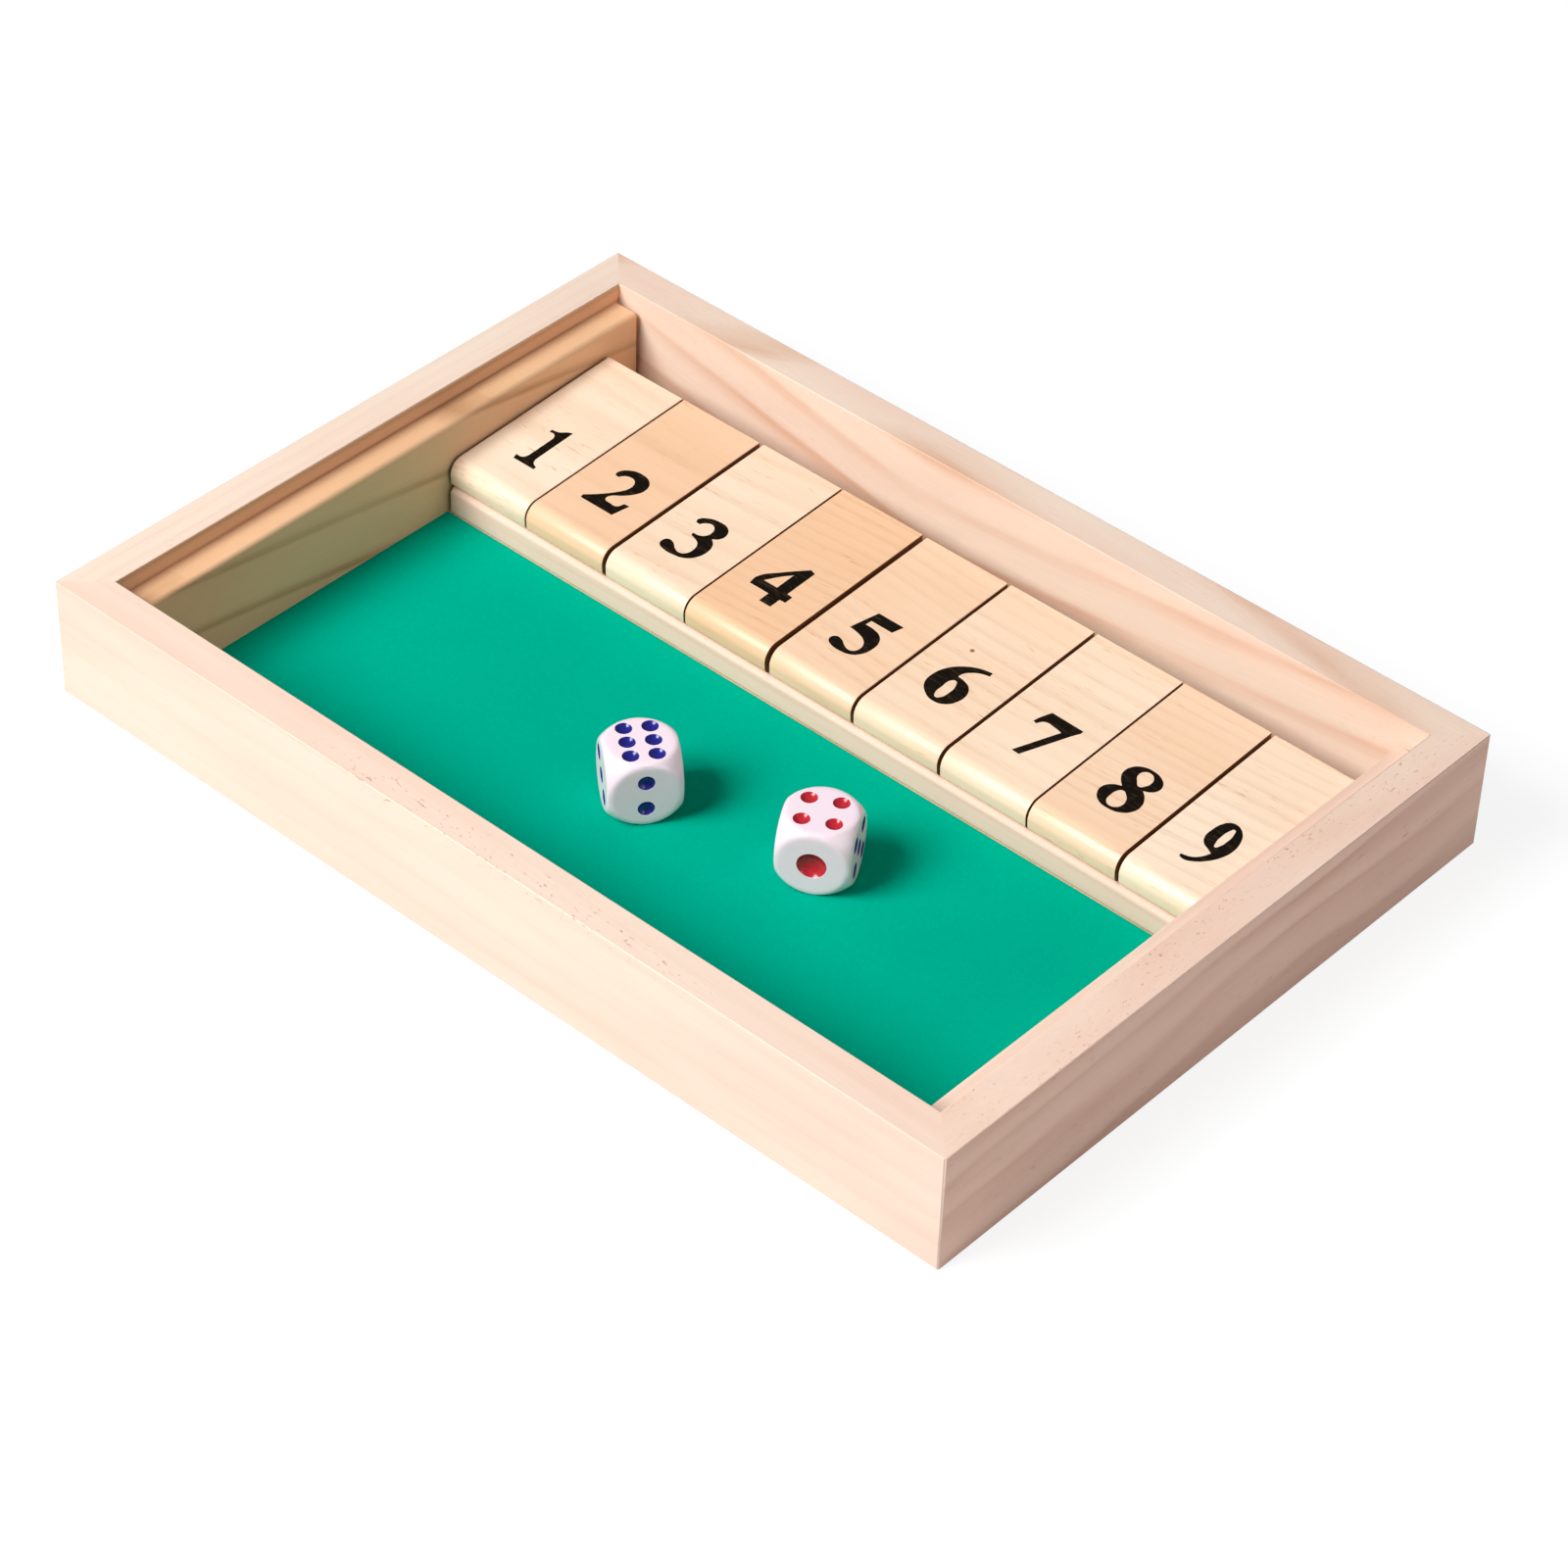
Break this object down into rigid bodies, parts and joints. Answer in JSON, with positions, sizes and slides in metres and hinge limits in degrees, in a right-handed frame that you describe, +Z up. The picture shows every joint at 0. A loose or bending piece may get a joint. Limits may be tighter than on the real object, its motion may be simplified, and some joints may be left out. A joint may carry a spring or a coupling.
{
  "type": "shut the box game",
  "caption": "Open wooden tray game with numbered flip tiles on a rod, a baize throwing floor and loose dice.",
  "frame": {"origin": "centre of the underside of the frame, on the surface that the box stands on", "axes": "+X along the row of tiles from tile 1 to tile 9, +Y from the player's side to the tiles, +Z up"},
  "size_m": [0.24, 0.1658, 0.0285],
  "materials": {
    "frame_pine": "sanded bare pine",
    "cheek_pine": "sanded bare pine",
    "rail_pine": "sanded bare pine",
    "base_plywood": "raw thin plywood",
    "tile_pine": "satin clear lacquer",
    "baize": "smooth felt",
    "rod_steel": "drawn wire",
    "die_plastic": "polished",
    "digit_ink": "printed ink",
    "pip_blue": "paint",
    "pip_red": "paint"
  },
  "bodies": {
    "tray": {"frame_front": "frame_pine", "frame_back": "frame_pine", "frame_left": "frame_pine", "frame_right": "frame_pine", "base_panel": "base_plywood", "baize": "baize", "cheek_left": "cheek_pine", "cheek_right": "cheek_pine", "tile_rail": "rail_pine", "tile_rod": "rod_steel"},
    "tile_1": {"tile_1": "tile_pine"},
    "tile_2": {"tile_2": "tile_pine"},
    "tile_3": {"tile_3": "tile_pine"},
    "tile_4": {"tile_4": "tile_pine"},
    "tile_5": {"tile_5": "tile_pine"},
    "tile_6": {"tile_6": "tile_pine"},
    "tile_7": {"tile_7": "tile_pine"},
    "tile_8": {"tile_8": "tile_pine"},
    "tile_9": {"tile_9": "tile_pine"},
    "die_left": {"die_left": "die_plastic"},
    "die_right": {"die_right": "die_plastic"}
  },
  "joints": [
    {"name": "tile_1_flip", "type": "hinge", "parent": "tray", "child": "tile_1", "pos_m": [-0.09267, 0.0587, 0.0142], "axis": [-1, 0, 0], "range_deg": [0, 130]},
    {"name": "tile_2_flip", "type": "hinge", "parent": "tray", "child": "tile_2", "pos_m": [-0.06941, 0.0587, 0.0142], "axis": [-1, 0, 0], "range_deg": [0, 130]},
    {"name": "tile_3_flip", "type": "hinge", "parent": "tray", "child": "tile_3", "pos_m": [-0.04615, 0.0587, 0.0142], "axis": [-1, 0, 0], "range_deg": [0, 130]},
    {"name": "tile_4_flip", "type": "hinge", "parent": "tray", "child": "tile_4", "pos_m": [-0.02289, 0.0587, 0.0142], "axis": [-1, 0, 0], "range_deg": [0, 130]},
    {"name": "tile_5_flip", "type": "hinge", "parent": "tray", "child": "tile_5", "pos_m": [0.00037, 0.0587, 0.0142], "axis": [-1, 0, 0], "range_deg": [0, 130]},
    {"name": "tile_6_flip", "type": "hinge", "parent": "tray", "child": "tile_6", "pos_m": [0.02363, 0.0587, 0.0142], "axis": [-1, 0, 0], "range_deg": [0, 130]},
    {"name": "tile_7_flip", "type": "hinge", "parent": "tray", "child": "tile_7", "pos_m": [0.04689, 0.0587, 0.0142], "axis": [-1, 0, 0], "range_deg": [0, 130]},
    {"name": "tile_8_flip", "type": "hinge", "parent": "tray", "child": "tile_8", "pos_m": [0.07015, 0.0587, 0.0142], "axis": [-1, 0, 0], "range_deg": [0, 130]},
    {"name": "tile_9_flip", "type": "hinge", "parent": "tray", "child": "tile_9", "pos_m": [0.09341, 0.0587, 0.0142], "axis": [-1, 0, 0], "range_deg": [0, 130]},
    {"name": "die_left_lift", "type": "slide", "parent": "tray", "child": "die_left", "axis": [0, 0, 1], "range_m": [0, 0.06]},
    {"name": "die_right_lift", "type": "slide", "parent": "tray", "child": "die_right", "axis": [0, 0, 1], "range_m": [0, 0.06]}
  ]
}
